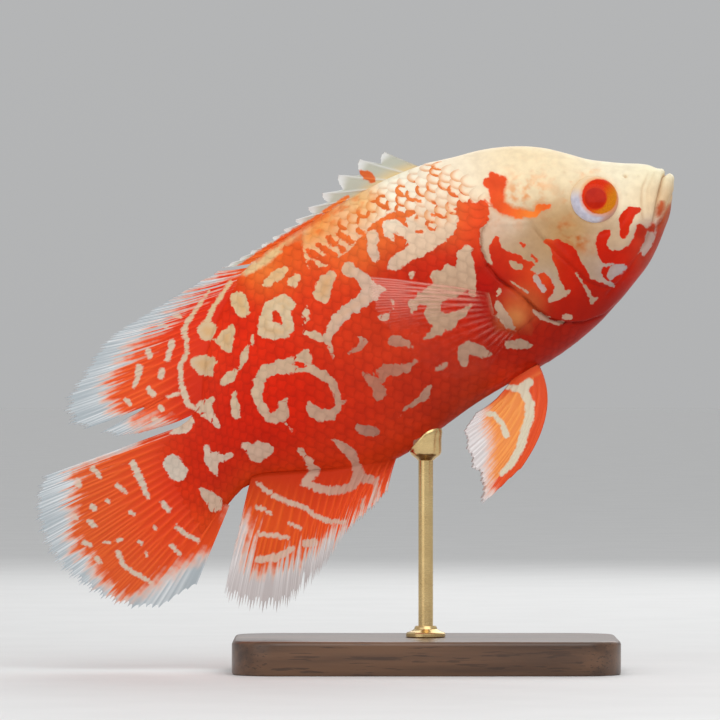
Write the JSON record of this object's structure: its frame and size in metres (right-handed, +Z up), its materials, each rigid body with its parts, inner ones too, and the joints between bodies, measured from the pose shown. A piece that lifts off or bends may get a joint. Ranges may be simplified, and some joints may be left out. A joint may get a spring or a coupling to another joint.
{
  "type": "oscar fish",
  "caption": "Life-size museum model of an oscar fish in red and cream, swimming head up, on a wooden base with one brass rod.",
  "frame": {"origin": "centre of the base's underside", "axes": "+Z up, +X towards the fish's head, +Y towards the fish's left side"},
  "size_m": [0.2263, 0.086, 0.1852],
  "materials": {
    "red_and_cream_skin": "satin",
    "fin_membrane": "satin",
    "eye": "gloss",
    "dark_wood": "satin",
    "brass": "polished"
  },
  "bodies": {
    "root": {"head": "red_and_cream_skin", "jaw_lower": "red_and_cream_skin", "gill_cover_right": "red_and_cream_skin", "gill_cover_left": "red_and_cream_skin", "trunk": "red_and_cream_skin", "tail_stalk": "red_and_cream_skin", "eye_right": "eye", "eye_left": "eye", "dorsal_fin_spiny": "fin_membrane", "dorsal_fin_soft": "fin_membrane", "anal_fin": "fin_membrane", "tail_fin": "fin_membrane", "pectoral_fin_right": "fin_membrane", "pectoral_fin_left": "fin_membrane", "pelvic_fin_right": "fin_membrane", "pelvic_fin_left": "fin_membrane", "stand_base": "dark_wood", "stand_collar": "brass", "stand_rod": "brass", "stand_saddle": "brass"}
  },
  "joints": []
}
